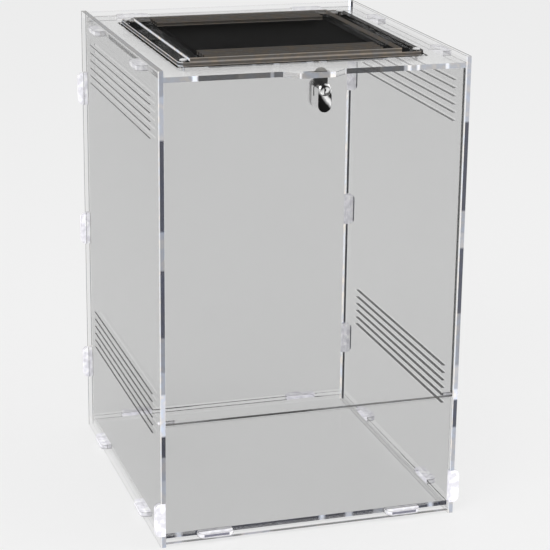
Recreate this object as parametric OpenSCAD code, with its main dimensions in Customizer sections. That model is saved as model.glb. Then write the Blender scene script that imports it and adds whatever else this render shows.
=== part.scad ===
// Front-opening reptile terrarium in clear acrylic sheet.
// Flat panels plug together with tabs through slots. The upper front is a door that
// hangs on two pins at its bottom corners and is held by a turning-cam lock.
// The origin is on the floor, under the middle of the whole, lock and rear tabs included.
// X is right, Y is back, Z is up.

/* [Box] */
// Width over the outer faces of the side panels
box_w = 300; // [260:5:420]
// Depth from the front edges to the rear edges of the side panels
box_d = 330; // [290:5:460]
// Height of the side panels
box_h = 462; // [400:2:640]
// Thickness of the acrylic sheet
sheet = 5; // [4:0.5:6]
// How far the side panels stand above the top panel
side_rise = 5.7; // [3:0.1:12]
// How far the side panels stand above the back panel
back_drop = 1.2; // [0:0.1:3]
// Height of the front panel's lower edge above the floor
front_lift = 3; // [1:0.5:6]
// Height of the back panel's lower edge above the floor
back_lift = 4; // [1:0.5:6]
// Height of the bottom panel's underside above the floor
floor_lift = 7; // [6.5:0.5:12]
// Height of the joint between the door and the front panel
joint_z = 124; // [90:1:170]

/* [Tabs] */
// Length of a tab along the panel's edge
tab_len = 34; // [24:1:44]
// How far a tab stands out past the outer face
tab_out = 5.5; // [3:0.5:8]
// Play between a tab's faces and its slot
tab_play = 0.15; // [0.1:0.05:0.4]
// Play between each end of a tab and the round end of its slot
tab_end_play = 1.9; // [1.8:0.1:4]
// Distance of the tabs on front and rear edges from the middle of the width
tab_x = 96; // [70:1:105]
// Distance of the tabs on side edges from the middle of the depth
tab_y = 90; // [60:1:110]
// Height of the middle of the front panel's side tabs
front_tab_z = 28.5; // [26:0.5:60]
// Height of the middle back tab
back_tab_z = 228; // [190:1:260]
// Distance between the back tabs
back_tab_pitch = 152.5; // [100:0.5:155]

/* [Side vents] */
// Number of slots in a group
vent_rows = 6; // [2:1:8]
// Distance between slots
vent_pitch = 7.9; // [6:0.1:10]
// Width of a slot
vent_w = 1.8; // [1:0.1:3]
// Distance from the side panel's front edge to the slots
vent_front = 32; // [24:1:60]
// Distance from the side panel's rear edge to the slots
vent_rear = 42; // [24:1:60]
// Distance of the upper group's top slot below the panel's top
vent_upper_drop = 28; // [24:1:60]
// Height of the lower group's top slot
vent_lower_z = 146; // [110:1:180]

/* [Door] */
// Gap between the door and its neighbours at the sides and top
door_gap = 0.6; // [0.4:0.1:1.5]
// Gap between the door's lower edge and the front panel
door_sill_gap = 1.2; // [1.1:0.1:2]
// Diameter of a hinge pin
pin_d = 3; // [2:0.25:3]
// Length of a hinge pin in the door
pin_depth = 9; // [6:0.5:14]
// Running play round a hinge pin, on the radius
pin_play = 0.08; // [0.03:0.01:0.1]
// How far a hinge pin stands out past the side panel
pin_out = 1.6; // [0:0.2:3]

/* [Lock] */
// Height of the lock's turning axis below the underside of the top panel
lock_drop = 10.3; // [9.5:0.1:13]
// Width of the oval lock body
lock_w = 12.8; // [11:0.2:16]
// Height of the oval lock body
lock_h = 26.4; // [25:0.2:32]
// Depth of the lock body in front of the cam
lock_front_d = 12.4; // [8:0.2:16]
// Width of the cam plate
cam_w = 12.8; // [10:0.2:13]
// Thickness of the cam plate
cam_t = 2; // [1.5:0.1:3]
// Play on each face of the cam in the lock body
cam_play = 0.3; // [0.2:0.05:0.5]
// Reach of the cam from its axis to its tip
cam_reach = 19; // [17:0.5:22]
// Distance from the door's front face to the cam
cam_stand = 5.5; // [4.5:0.1:7]
// Diameter of the key cylinder
plug_d = 9.6; // [8:0.2:10]
// Running play round the key cylinder, on the radius
plug_play = 0.1; // [0.05:0.01:0.1]
// Side of the square that drives the cam
drive_w = 5; // [4:0.25:5.5]
// Diameter of the cylinder's tail
tail_d = 4; // [3:0.25:4]
// Thickness of the backing plate behind the door
plate_t = 3; // [2:0.5:4]
// Diameter of the two fixing screws
lock_screw_d = 3; // [2:0.5:3]

/* [Tongue] */
// How far the tongue stands out in front of the top panel
tongue_out = 12; // [11:0.5:16]
// Width of the tongue at its root
tongue_root_w = 67; // [60:1:90]
// Width of the straight front edge of the tongue
tongue_tip_w = 27; // [24:1:36]
// Width of the cam slot, front to back
slot_w = 5; // [4.6:0.1:5.2]
// Play beside the cam at the slot's closed end
slot_end_play = 2.1; // [1:0.1:4]
// Play past the tip of the cam as it swings out of the slot
swing_play = 1; // [0.5:0.1:2]

/* [Top vent] */
// Width and depth of the vent frame
frame_w = 240; // [200:2:250]
// Thickness of the vent frame
frame_t = 4; // [3:0.5:6]
// Radius of the vent frame's corners
frame_r = 8; // [5:0.5:12]
// How far the vent frame sits behind the middle of the box
frame_back = -5; // [-12:1:12]
// Width of the vent frame beside its window
rim_side = 30; // [24:1:45]
// Width of the vent frame in front of its window and behind it
rim_end = 16; // [14:1:40]
// Thickness of the mesh
mesh_t = 0.6; // [0.4:0.1:1]
// How far the cut edge of the mesh stands out past the vent frame
mesh_out = 1.2; // [0.5:0.1:2]
// How much the vent cover is narrower than the room between the screws
cover_play = 15; // [4:0.5:24]
// Gap between the loose cover and the screws that it lies against
cover_rest_gap = 0.5; // [0.4:0.1:2]
// How much the vent cover is shorter than the vent frame, at the rear
cover_short = 18; // [0:1:24]
// Thickness of the vent cover
cover_t = 4; // [3:0.5:6]
// Number of slots along the front edge of the vent cover, and as many along its rear edge
cover_rows = 4; // [1:1:6]
// Distance between slots in the vent cover
cover_pitch = 8; // [6:0.5:10]
// Width of a slot in the vent cover
cover_slot_w = 2.4; // [1:0.2:4]
// Distance from the vent cover's side edge to its slots
cover_end_margin = 15; // [10:0.5:30]
// Distance from the vent cover's edge to its nearest slot
cover_margin = 10; // [7:0.5:14]
// Distance of a vent screw from the vent frame's side edge
screw_in_x = 6; // [5:0.5:7]
// Distance of a vent screw from the vent frame's front or rear edge
screw_in_y = 9; // [7:0.5:12]
// Diameter of a vent screw's thread
screw_d = 3; // [2.5:0.5:4]
// Play round a vent screw in the vent frame and the mesh
screw_play = 0.2; // [0.1:0.05:0.5]
// Diameter of a vent screw's head
screw_head_d = 7; // [5.5:0.5:7]
// Height of a vent screw's head
screw_head_h = 2.2; // [1.5:0.1:3]

/* [Hidden] */
$fn = 48;
eps = 0.01;

// Planes of the box. The lock reaches farther out in front than the tabs do behind,
// so the box's own middle lies behind the origin by half of the difference.
lock_reach = cam_stand + cam_t + cam_play + lock_front_d;
mid_y = (lock_reach - tab_out) / 2;
front_y = mid_y - box_d / 2;
back_y = mid_y + box_d / 2;
inner_x = box_w / 2 - sheet;
top_z = box_h - side_rise;
top_under_z = top_z - sheet;
floor_top_z = floor_lift + sheet;
back_top_z = box_h - back_drop;
front_top_z = joint_z - door_sill_gap / 2;

// Door and hinge
door_low_z = joint_z + door_sill_gap / 2;
door_top_z = top_under_z - door_gap;
hinge_y = front_y + sheet / 2;
hinge_z = door_low_z + sheet / 2;

// Lock
lock_z = top_under_z - lock_drop;
lock_r = lock_w / 2;
lock_low_z = lock_z + lock_r - lock_h;
lobe_z = lock_low_z + lock_r;
cam_y = front_y - cam_stand - cam_t;
cam_gap_y = cam_y - cam_play;
cam_gap_d = cam_t + 2 * cam_play;
cam_floor_play = 0.4;
lock_front_y = front_y - lock_reach;
foot_y = cam_gap_y + cam_gap_d;
plug_in = 0.4;
tail_end_y = front_y - 0.6;
clip_w = 1;
clip_r = tail_d / 2 + 1.3;
clip_pocket_r = clip_r + 0.5;
clip_pocket_d = 2.2;
lock_screw_head_d = lock_screw_d * 1.75;
lock_screw_head_h = lock_screw_d * 0.6;
lock_screw_bite = cam_stand + 1.5;
lock_screw_zs = [lobe_z - 3, lobe_z + 4];

// Tongue and its slot. The slot reaches left as far as the cam's tip swings at the panel's underside.
slot_left = sqrt(cam_reach * cam_reach - lock_drop * lock_drop) + swing_play;
slot_right = cam_w / 2 + slot_end_play;
slot_mid_y = cam_y + cam_t / 2;
tongue_x = (slot_right - slot_left) / 2;

// Top vent
mesh_z = top_z;
frame_z = mesh_z + mesh_t;
cover_z = frame_z + frame_t;
frame_y = mid_y + frame_back;
screw_x = frame_w / 2 - screw_in_x;
screw_dy = frame_w / 2 - screw_in_y;
cover_w = 2 * screw_x - screw_head_d - cover_play;
cover_d = frame_w - cover_short;
cover_x = cover_rest_gap - cover_play / 2;
cover_y = frame_y - cover_short / 2;
cover_slot_len = cover_w - 2 * cover_end_margin;
screw_tip_z = top_under_z + 0.4;
tapped_play = 0.05;
screw_places = [for (x = [-screw_x, screw_x]) for (y = [frame_y - screw_dy, frame_y + screw_dy]) [x, y]];

window_w = frame_w - 2 * rim_side;
window_d = frame_w - 2 * rim_end;

side_tab_ys = [mid_y - tab_y, mid_y + tab_y];
back_tab_zs = [for (i = [-1:1]) back_tab_z + i * back_tab_pitch];

clear_acrylic = [0.86, 0.90, 0.90, 0.35];

// ---- Shared shapes ----

// Flat bar with its two outer corners rounded, from the panel's edge along +X. Its length is along Y.
module tab_outline() {
    reach = sheet + tab_out;
    union() {
        translate([-1, -tab_len / 2]) square([1 + reach - tab_out, tab_len]);
        translate([sheet - eps, tab_out - tab_len / 2]) square([tab_out + eps, tab_len - 2 * tab_out]);
        translate([sheet, 0]) intersection() {
            translate([-eps, -tab_len / 2]) square([tab_out + eps, tab_len]);
            for (s = [-1, 1]) translate([0, s * (tab_len / 2 - tab_out)]) circle(r = tab_out);
        }
    }
}

// Slot for one tab, with the round ends that the cutter leaves. Its length is along X.
module tab_slot() {
    round_slot(tab_len + 2 * tab_end_play, sheet + 2 * tab_play);
}

// Slot with round ends. Its length is along X.
module round_slot(length, width) {
    square([length - width, width], center = true);
    for (s = [-1, 1]) translate([s * (length - width) / 2, 0]) circle(d = width);
}

module rounded_plate(w, d, r) {
    union() {
        square([w - 2 * r, d], center = true);
        square([w, d - 2 * r], center = true);
        for (x = [-1, 1]) for (y = [-1, 1])
            translate([x * (w / 2 - r), y * (d / 2 - r)]) circle(r = r);
    }
}

// Stands a drawing in X and Y up as X and Z, and gives it a thickness from the plane y0 towards the back.
module upright(y0, t) {
    translate([0, y0 + t, 0]) rotate([90, 0, 0]) linear_extrude(t) children();
}

// ---- Box panels ----

// One side panel, drawn as depth along X and height along Y
module side_outline() {
    difference() {
        translate([front_y, 0]) square([box_d, box_h]);
        // slots for the bottom panel's and the top panel's tabs
        for (y = side_tab_ys) for (z = [floor_lift + sheet / 2, top_z - sheet / 2])
            translate([y, z]) tab_slot();
        // notches for the back panel's tabs, open at the rear edge
        for (z = back_tab_zs)
            translate([back_y - sheet - tab_play, z - tab_len / 2 - tab_play])
                square([sheet + tab_play + 1, tab_len + 2 * tab_play]);
        // notch for the front panel's tab, open at the front edge
        translate([front_y - 1, front_tab_z - tab_len / 2 - tab_play])
            square([sheet + tab_play + 1, tab_len + 2 * tab_play]);
        side_vents();
        translate([hinge_y, hinge_z]) circle(d = pin_d + 2 * pin_play);
    }
}

module side_vents() {
    vent_len = box_d - vent_front - vent_rear;
    vent_y = mid_y + (vent_front - vent_rear) / 2;
    for (top_row = [box_h - vent_upper_drop, vent_lower_z])
        for (i = [0:vent_rows - 1])
            translate([vent_y, top_row - i * vent_pitch]) round_slot(vent_len, vent_w);
}

module side_panel(x0) {
    translate([x0, 0, 0]) rotate([90, 0, 90]) linear_extrude(sheet) side_outline();
}

module left_side_panel() {
    color(clear_acrylic) side_panel(-box_w / 2);
}

module right_side_panel() {
    color(clear_acrylic) side_panel(inner_x);
}

module side_tabs_upright(zs) {
    for (z = zs) {
        translate([inner_x, z]) tab_outline();
        mirror([1, 0]) translate([inner_x, z]) tab_outline();
    }
}

module back_panel() {
    color(clear_acrylic) upright(back_y - sheet, sheet) difference() {
        union() {
            translate([-inner_x, back_lift]) square([2 * inner_x, back_top_z - back_lift]);
            side_tabs_upright(back_tab_zs);
        }
        for (x = [-tab_x, tab_x]) for (z = [floor_lift + sheet / 2, top_z - sheet / 2])
            translate([x, z]) tab_slot();
    }
}

module front_lower_panel() {
    color(clear_acrylic) upright(front_y, sheet) difference() {
        union() {
            translate([-inner_x, front_lift]) square([2 * inner_x, front_top_z - front_lift]);
            side_tabs_upright([front_tab_z]);
        }
        for (x = [-tab_x, tab_x]) translate([x, floor_lift + sheet / 2]) tab_slot();
    }
}

// Tabs on the left and right edges of a level panel
module side_tabs_level() {
    for (y = side_tab_ys) {
        translate([inner_x, y]) tab_outline();
        mirror([1, 0]) translate([inner_x, y]) tab_outline();
    }
}

module rear_tabs_level() {
    for (x = [-tab_x, tab_x]) translate([x, back_y - sheet]) rotate(90) tab_outline();
}

module front_tabs_level() {
    for (x = [-tab_x, tab_x]) translate([x, front_y + sheet]) rotate(-90) tab_outline();
}

module bottom_panel() {
    inner_d = box_d - 2 * sheet;
    color(clear_acrylic) translate([0, 0, floor_lift]) linear_extrude(sheet) {
        translate([0, mid_y]) square([2 * inner_x, inner_d], center = true);
        side_tabs_level();
        rear_tabs_level();
        front_tabs_level();
    }
}

// Panel between the sides, with the tongue that carries the cam slot in front.
// The tongue flares into the panel's front edge in S-shaped shoulders.
module top_outline() {
    flare = (tongue_root_w - tongue_tip_w) / 2;
    n = 16;
    shoulder = [for (i = [0:n]) [
        tongue_tip_w / 2 + flare * (1 - i / n),
        front_y - tongue_out * (1 - cos(180 * i / n)) / 2]];
    left = [for (p = shoulder) [tongue_x - p[0], p[1]]];
    right = [for (i = [n:-1:0]) [tongue_x + shoulder[i][0], shoulder[i][1]]];
    rear_y = back_y - sheet;
    polygon(concat([[inner_x, rear_y], [-inner_x, rear_y], [-inner_x, front_y]], left, right, [[inner_x, front_y]]));
}

module cam_slot_outline() {
    width = slot_left + slot_right;
    translate([tongue_x, slot_mid_y]) round_slot(width, slot_w);
}

module window_outline() {
    translate([0, frame_y]) rounded_plate(window_w, window_d, frame_r / 2);
}

// Holes for the vent screws, with the given play all round
module screw_hole_outlines(play) {
    for (p = screw_places) translate(p) circle(d = screw_d + 2 * play);
}

module top_panel() {
    color(clear_acrylic) translate([0, 0, top_under_z]) linear_extrude(sheet) difference() {
        union() {
            top_outline();
            side_tabs_level();
            rear_tabs_level();
        }
        cam_slot_outline();
        window_outline();
        screw_hole_outlines(tapped_play);
    }
}

// ---- Top vent ----

// Cut edge of the mesh, which waves a little where the scissors ran
function mesh_wave(i) = mesh_out * (0.55 + 0.3 * sin(47 * i) + 0.15 * sin(131 * i));

module mesh_outline() {
    half = frame_w / 2;
    steps = 24;
    edge = [for (i = [0:steps - 1]) [-half + frame_r + (frame_w - 2 * frame_r) * i / (steps - 1),
        -half - mesh_wave(i)]];
    points = [for (k = [0:3]) for (p = edge)
        [p[0] * cos(90 * k) - p[1] * sin(90 * k), p[0] * sin(90 * k) + p[1] * cos(90 * k)]];
    translate([0, frame_y]) polygon(points);
}

module vent_mesh() {
    color("black") translate([0, 0, mesh_z]) linear_extrude(mesh_t) difference() {
        mesh_outline();
        screw_hole_outlines(screw_play);
    }
}

module vent_frame() {
    color(clear_acrylic) translate([0, 0, frame_z]) linear_extrude(frame_t) difference() {
        translate([0, frame_y]) rounded_plate(frame_w, frame_w, frame_r);
        window_outline();
        screw_hole_outlines(screw_play);
    }
}

module vent_cover() {
    first = cover_d / 2 - cover_margin;
    color(clear_acrylic) translate([cover_x, cover_y, cover_z]) linear_extrude(cover_t) difference() {
        square([cover_w, cover_d], center = true);
        for (s = [-1, 1]) for (i = [0:cover_rows - 1])
            translate([0, s * (first - i * cover_pitch)]) round_slot(cover_slot_len, cover_slot_w);
    }
}

// Low domed head, from z = 0 up, with a cross-shaped driver recess
module pan_head(d, h) {
    edge = h * 0.45;
    dome_r = (pow(d / 2, 2) + pow(h - edge, 2)) / (2 * (h - edge));
    difference() {
        union() {
            cylinder(d = d, h = edge);
            intersection() {
                translate([0, 0, h - dome_r]) sphere(r = dome_r, $fn = 64);
                translate([0, 0, edge]) cylinder(d = d, h = h);
            }
        }
        for (a = [0, 90]) rotate(a)
            translate([-d * 0.26, -d * 0.06, h * 0.5]) cube([d * 0.52, d * 0.12, h]);
    }
}

module vent_screws() {
    color("silver") for (p = screw_places) translate([p[0], p[1], cover_z]) {
        pan_head(screw_head_d, screw_head_h);
        translate([0, 0, screw_tip_z - cover_z]) cylinder(d = screw_d, h = cover_z - screw_tip_z + eps);
    }
}

// ---- Door ----

module lock_screw_holes(y0, length, d) {
    for (z = lock_screw_zs) translate([0, y0, z]) rotate([-90, 0, 0]) cylinder(d = d, h = length);
}

module door_panel() {
    half_w = inner_x - door_gap;
    color(clear_acrylic) difference() {
        upright(front_y, sheet) translate([-half_w, door_low_z]) square([2 * half_w, door_top_z - door_low_z]);
        for (s = [-1, 1]) translate([s * (half_w - pin_depth), hinge_y, hinge_z])
            rotate([0, s * 90, 0]) cylinder(d = pin_d, h = pin_depth + 1);
        lock_screw_holes(front_y - 1, sheet + 2, lock_screw_d + 0.4);
    }
}

// Round pins pressed into the door's ends, with a small chamfer on each outer end
module hinge_pins() {
    bevel = 0.4;
    length = pin_depth + door_gap + sheet + pin_out;
    color("whitesmoke") for (s = [-1, 1])
        translate([s * (inner_x - door_gap - pin_depth), hinge_y, hinge_z]) rotate([0, s * 90, 0]) {
            cylinder(d = pin_d, h = length - bevel);
            translate([0, 0, length - bevel]) cylinder(d1 = pin_d, d2 = pin_d - 2 * bevel, h = bevel);
        }
}

// ---- Lock ----

module lock_oval(grow) {
    translate([0, lobe_z]) union() {
        for (z = [0, lock_z - lobe_z]) translate([0, z]) circle(r = lock_r + grow);
        translate([-lock_r - grow, 0]) square([lock_w + 2 * grow, lock_z - lobe_z]);
    }
}

module along_y(y0, z0) {
    translate([0, y0, z0]) rotate([-90, 0, 0]) children();
}

// One casting: an oval bar with a gap across its upper lobe in which the cam turns
module lock_body() {
    bevel = 0.8;
    gap_floor = lock_z - cam_w / 2 - cam_floor_play;
    color("gainsboro") difference() {
        union() {
            upright(lock_front_y + bevel, front_y - lock_front_y - bevel) lock_oval(0);
            lock_front_bevel(bevel);
        }
        translate([-lock_w, cam_gap_y, gap_floor]) cube([2 * lock_w, cam_gap_d, lock_h]);
        along_y(lock_front_y - 1, lock_z)
            cylinder(d = plug_d + 2 * plug_play, h = cam_gap_y - lock_front_y + 1 + eps);
        along_y(foot_y - eps, lock_z) cylinder(d = tail_d + 2 * plug_play, h = cam_stand + 1);
        along_y(front_y - clip_pocket_d, lock_z) cylinder(r = clip_pocket_r, h = clip_pocket_d + 1);
        lock_screw_holes(front_y - lock_screw_bite, lock_screw_bite + 1, lock_screw_d);
    }
}

// Bevelled rim round the oval front face
module lock_front_bevel(bevel) {
    steps = [for (z = [lobe_z, lock_z]) z];
    for (z = steps) along_y(lock_front_y, z) cylinder(r1 = lock_r - bevel, r2 = lock_r, h = bevel);
    translate([0, 0, lobe_z]) linear_extrude(lock_z - lobe_z)
        polygon([[-lock_r, lock_front_y + bevel], [-lock_r + bevel, lock_front_y],
            [lock_r - bevel, lock_front_y], [lock_r, lock_front_y + bevel]]);
}

// Key cylinder: a round plug with a keyway, a square that drives the cam, and a grooved tail
module lock_cylinder() {
    groove_y = tail_end_y - 0.6 - clip_w;
    rim = 0.5;
    color("silver") difference() {
        union() {
            along_y(lock_front_y + plug_in + rim, lock_z) cylinder(d = plug_d, h = cam_y - lock_front_y - plug_in - rim);
            along_y(lock_front_y + plug_in, lock_z) cylinder(d1 = plug_d - 2 * rim, d2 = plug_d, h = rim);
            translate([-drive_w / 2, cam_y - eps, lock_z - drive_w / 2]) cube([drive_w, cam_t + eps, drive_w]);
            along_y(cam_y + cam_t - eps, lock_z) cylinder(d = tail_d, h = tail_end_y - cam_y - cam_t + eps);
        }
        keyway();
        along_y(groove_y, lock_z) difference() {
            cylinder(d = tail_d + 1, h = clip_w);
            translate([0, 0, -1]) cylinder(d = tail_d - 1.2, h = clip_w + 2);
        }
    }
}

// Slot for a flat key, upright when locked, with a step down one side
module keyway() {
    deep = lock_front_d * 0.75;
    tall = plug_d * 0.66;
    translate([-0.9, lock_front_y - 1, lock_z - tall / 2]) cube([1.1, deep + 1, tall]);
    translate([0, lock_front_y - 1, lock_z - tall * 0.1]) cube([0.9, deep + 1, tall * 0.36]);
}

// Flat plate with round ends, on the square of the cylinder
module lock_cam() {
    color("dimgray") difference() {
        upright(cam_y, cam_t) union() {
            translate([0, lock_z]) circle(d = cam_w);
            translate([-cam_w / 2, lock_z]) square([cam_w, cam_reach - cam_w / 2]);
            translate([0, lock_z + cam_reach - cam_w / 2]) circle(d = cam_w);
        }
        translate([-drive_w / 2, cam_y - 1, lock_z - drive_w / 2]) cube([drive_w, cam_t + 2, drive_w]);
    }
}

// Open retaining ring in the tail's groove
module lock_clip() {
    groove_y = tail_end_y - 0.6 - clip_w;
    color("dimgray") along_y(groove_y, lock_z) difference() {
        cylinder(r = clip_r, h = clip_w);
        translate([0, 0, -1]) cylinder(d = tail_d - 1.2, h = clip_w + 2);
        translate([-(tail_d - 1.4) / 2, 0, -1]) cube([tail_d - 1.4, clip_r + 1, clip_w + 2]);
    }
}

// Oval plate behind the door that spreads the load of the screws
module lock_backing_plate() {
    color("silver") difference() {
        upright(front_y + sheet, plate_t) lock_oval(0);
        lock_screw_holes(front_y + sheet - 1, plate_t + 2, lock_screw_d + 0.4);
    }
}

module lock_screws() {
    seat_y = front_y + sheet + plate_t;
    tip_play = 0.5;
    color("silver") for (z = lock_screw_zs) translate([0, seat_y, z]) rotate([-90, 0, 0]) {
        pan_head(lock_screw_head_d, lock_screw_head_h);
        translate([0, 0, -(sheet + plate_t + lock_screw_bite - tip_play)])
            cylinder(d = lock_screw_d, h = sheet + plate_t + lock_screw_bite - tip_play + eps);
    }
}

left_side_panel();
right_side_panel();
back_panel();
bottom_panel();
front_lower_panel();
top_panel();
vent_mesh();
vent_frame();
vent_cover();
vent_screws();
door_panel();
hinge_pins();
lock_body();
lock_backing_plate();
lock_screws();
lock_cylinder();
lock_cam();
lock_clip();
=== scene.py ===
"""Dresses the clear acrylic terrarium: polished sheets, fine mesh, chrome lock, pale studio."""
import logging
import math
import random
from dataclasses import dataclass
from enum import Enum
from typing import Any, Sequence

import bmesh
import bpy
from mathutils import Matrix, Vector


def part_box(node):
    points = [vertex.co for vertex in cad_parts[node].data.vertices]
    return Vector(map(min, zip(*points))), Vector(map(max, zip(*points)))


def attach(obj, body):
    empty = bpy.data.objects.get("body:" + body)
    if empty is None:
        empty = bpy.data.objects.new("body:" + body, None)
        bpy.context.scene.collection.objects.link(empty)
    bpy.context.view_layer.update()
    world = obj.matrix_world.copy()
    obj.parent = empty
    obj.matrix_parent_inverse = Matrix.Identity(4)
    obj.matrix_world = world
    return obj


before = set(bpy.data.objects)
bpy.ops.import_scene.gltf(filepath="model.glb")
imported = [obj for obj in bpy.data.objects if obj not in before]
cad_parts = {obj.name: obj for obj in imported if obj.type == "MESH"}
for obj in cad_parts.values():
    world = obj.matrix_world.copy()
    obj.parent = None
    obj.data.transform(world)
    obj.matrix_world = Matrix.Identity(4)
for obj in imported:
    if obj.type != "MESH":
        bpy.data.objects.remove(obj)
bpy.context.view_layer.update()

logging.basicConfig(level=logging.INFO, format="%(message)s")
LOG = logging.getLogger("terrarium")

Point = tuple[float, float, float]
Colour = tuple[float, float, float, float]
Bound = tuple[str, float, float]
Stops = Sequence[tuple[float, Colour]]
Mark = tuple[float, float, float]

MM = 0.001
# A distance past every piece, in metres
FAR = 1.0
# About half the height of the box, in metres
MIDDLE_Z = 0.23
# How far from the middle of the width the side tabs' ends are told from the rest
SIDES_FROM = 0.14
# The least part of a normal along an axis, for a face that looks straight along it
SQUARE_ON = 0.9
# The same, for a face that looks more or less that way
ROUGHLY = 0.5
# How much a cut edge hides where no streak says otherwise
EDGE_COVER = 0.9
# How much the thin lines along a streak's borders hide
LINE_COVER = 0.88
# How far a streak with sharp ends takes to fade
CRISP = 0.0001
# The whole of an edge
WHOLE: Bound = ("Z", -FAR, FAR)


def grey(level: float) -> Colour:
    """A neutral colour of that linear level."""
    return (level, level, level, 1.0)


def greys(*pairs: tuple[float, float]) -> Stops:
    """A ramp's stops in neutral colours, from the place and level of each."""
    return tuple((place, grey(level)) for place, level in pairs)


class Socket:
    """An output socket that can be used in arithmetic."""

    def __init__(self, tree: "Tree", output: Any) -> None:
        """Wraps an output of a tree's node."""
        self.tree = tree
        self.output = output

    def _math(self, operation: str, *values: Any) -> "Socket":
        """Adds a Math node of that operation."""
        return self.tree.node("ShaderNodeMath", {"operation": operation}, *values)

    def __add__(self, other: Any) -> "Socket":
        """The sum."""
        return self._math("ADD", self, other)

    __radd__ = __add__

    def __sub__(self, other: Any) -> "Socket":
        """This less other."""
        return self._math("SUBTRACT", self, other)

    def __rsub__(self, other: Any) -> "Socket":
        """Other less this."""
        return self._math("SUBTRACT", other, self)

    def __mul__(self, other: Any) -> "Socket":
        """The product."""
        return self._math("MULTIPLY", self, other)

    __rmul__ = __mul__

    def greater(self, other: Any) -> "Socket":
        """1 where this is greater than other, else 0."""
        return self._math("GREATER_THAN", self, other)

    def less(self, other: Any) -> "Socket":
        """1 where this is less than other, else 0."""
        return self._math("LESS_THAN", self, other)

    def maximum(self, other: Any) -> "Socket":
        """The larger of the two."""
        return self._math("MAXIMUM", self, other)

    def absolute(self) -> "Socket":
        """The size without its sign."""
        return self._math("ABSOLUTE", self)

    def fraction(self) -> "Socket":
        """The part after the decimal point."""
        return self._math("FRACT", self)

    def sine(self) -> "Socket":
        """The sine, of radians."""
        return self._math("SINE", self)


class Tree:
    """A material's or the world's node tree, built by calls."""

    def __init__(self, owner: Any) -> None:
        """Empties the owner's tree.

        Args:
            owner: A material or a world.
        """
        owner.use_nodes = True
        self.tree = owner.node_tree
        self.tree.nodes.clear()

    def node(self, kind: str, settings: dict[str, Any] | None = None, *values: Any,
             **named: Any) -> Socket:
        """Adds a node.

        Args:
            kind: The node's type.
            settings: Properties that are set before its sockets.
            values: Values or links for its first inputs, in order.
            named: Values or links for inputs by name, with _ for a space.

        Returns:
            Its first output that is in use.
        """
        made = self.tree.nodes.new(kind)
        for key, value in (settings or {}).items():
            if key == "stops":
                self._set_stops(made, value)
            else:
                setattr(made, key, value)
        for index, value in enumerate(values):
            self._feed(made.inputs[index], value)
        for key, value in named.items():
            self._feed(made.inputs[key.replace("_", " ")], value)
        enabled = [output for output in made.outputs if output.enabled]
        return Socket(self, enabled[0] if enabled else None)

    @staticmethod
    def _set_stops(ramp: Any, stops: Stops) -> None:
        """Gives a ramp node its stops."""
        elements = ramp.color_ramp.elements
        while len(elements) < len(stops):
            elements.new(0.5)
        for element, (place, colour) in zip(elements, stops):
            element.position = place
            element.color = colour

    def _feed(self, socket: Any, value: Any) -> None:
        """Links or sets one input."""
        if isinstance(value, Socket):
            self.tree.links.new(value.output, socket)
        elif value is not None:
            socket.default_value = value

    def other(self, socket: Socket, name: str) -> Socket:
        """Another output of the same node."""
        return Socket(self, socket.output.node.outputs[name])

    def place(self) -> Socket:
        """Object coordinates, in metres."""
        return self.other(self.node("ShaderNodeTexCoord"), "Object")

    def _parts(self, vector: Socket) -> dict[str, Socket]:
        """A vector's three parts, by axis."""
        split = self.node("ShaderNodeSeparateXYZ", None, vector)
        return {"X": split, "Y": self.other(split, "Y"), "Z": self.other(split, "Z")}

    def across(self) -> dict[str, Socket]:
        """Object coordinates, by axis."""
        return self._parts(self.place())

    def facing(self) -> dict[str, Socket]:
        """The normal, by axis."""
        return self._parts(self.other(self.node("ShaderNodeTexCoord"), "Normal"))

    def noise(self, scale: float, detail: float = 3.0, rough: float = 0.5,
              vector: Socket | None = None) -> Socket:
        """Noise from 0 to 1 at that many waves a metre."""
        return self.node("ShaderNodeTexNoise", None, Vector=vector or self.place(), Scale=scale,
                         Detail=detail, Roughness=rough)

    def mix(self, factor: Any, low: Any, high: Any) -> Socket:
        """Mixes two colours."""
        made = self.tree.nodes.new("ShaderNodeMix")
        made.data_type = "RGBA"
        for index, value in ((0, factor), (6, low), (7, high)):
            self._feed(made.inputs[index], value)
        return Socket(self, made.outputs[2])

    def ramp(self, stops: Stops, value: Socket) -> Socket:
        """A colour from a value, by a ramp."""
        return self.node("ShaderNodeValToRGB", {"stops": stops}, value)

    def clamp(self, value: Socket) -> Socket:
        """The value, held between 0 and 1."""
        return self.node("ShaderNodeClamp", None, value, 0.0, 1.0)

    def bump(self, height: Socket, distance: float, strength: float = 1.0) -> Socket:
        """A normal from a height."""
        return self.node("ShaderNodeBump", None, Strength=strength, Distance=distance,
                         Height=height)

    def surface(self, shader: Socket) -> None:
        """Sends a shader to the output."""
        self.node("ShaderNodeOutputMaterial", None, shader)


def principled(tree: Tree, **values: Any) -> Socket:
    """A Principled shader with those inputs, named with _ for a space."""
    return tree.node("ShaderNodeBsdfPrincipled", None, **values)


class Side(Enum):
    """Where a cut edge lies on its sheet: the axis that it looks along, and which end.

    A face seen through the sheet shows its normal turned round, so the end is told by place.
    """

    LEFT = ("X", -1.0)
    RIGHT = ("X", 1.0)
    FRONT = ("Y", -1.0)
    BACK = ("Y", 1.0)
    DOWN = ("Z", -1.0)
    UP = ("Z", 1.0)
    ANY = ("", 0.0)


@dataclass(frozen=True)
class Spot:
    """What a material knows of a point.

    Attributes:
        tree: The material's tree.
        across: The point's place, by axis.
        facing: The way that its face looks, by axis.
    """

    tree: Tree
    across: dict[str, Socket]
    facing: dict[str, Socket]

    def between(self, bound: Bound) -> Socket:
        """1 where the place lies in a range, else 0."""
        axis, low, high = bound
        return self.across[axis].greater(low) * self.across[axis].less(high)


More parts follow.
